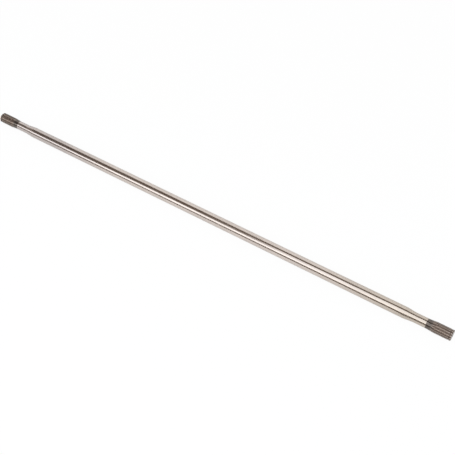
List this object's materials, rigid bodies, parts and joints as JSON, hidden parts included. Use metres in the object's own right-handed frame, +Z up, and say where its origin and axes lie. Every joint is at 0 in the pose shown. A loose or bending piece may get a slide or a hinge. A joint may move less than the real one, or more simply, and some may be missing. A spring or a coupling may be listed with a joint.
{
  "type": "splined axle",
  "caption": "Solid steel axle with a ground round body, reduced necks and an involute spline, ring groove and lathe centre at each end.",
  "frame": {"origin": "middle of the axle, on its axis", "axes": "+X along the axle, +Z up, with a tooth at the top of each spline"},
  "size_m": [1.22, 0.0254, 0.0254],
  "materials": {
    "steel": "satin"
  },
  "bodies": {
    "root": {"axle_shaft": "steel"}
  },
  "joints": []
}
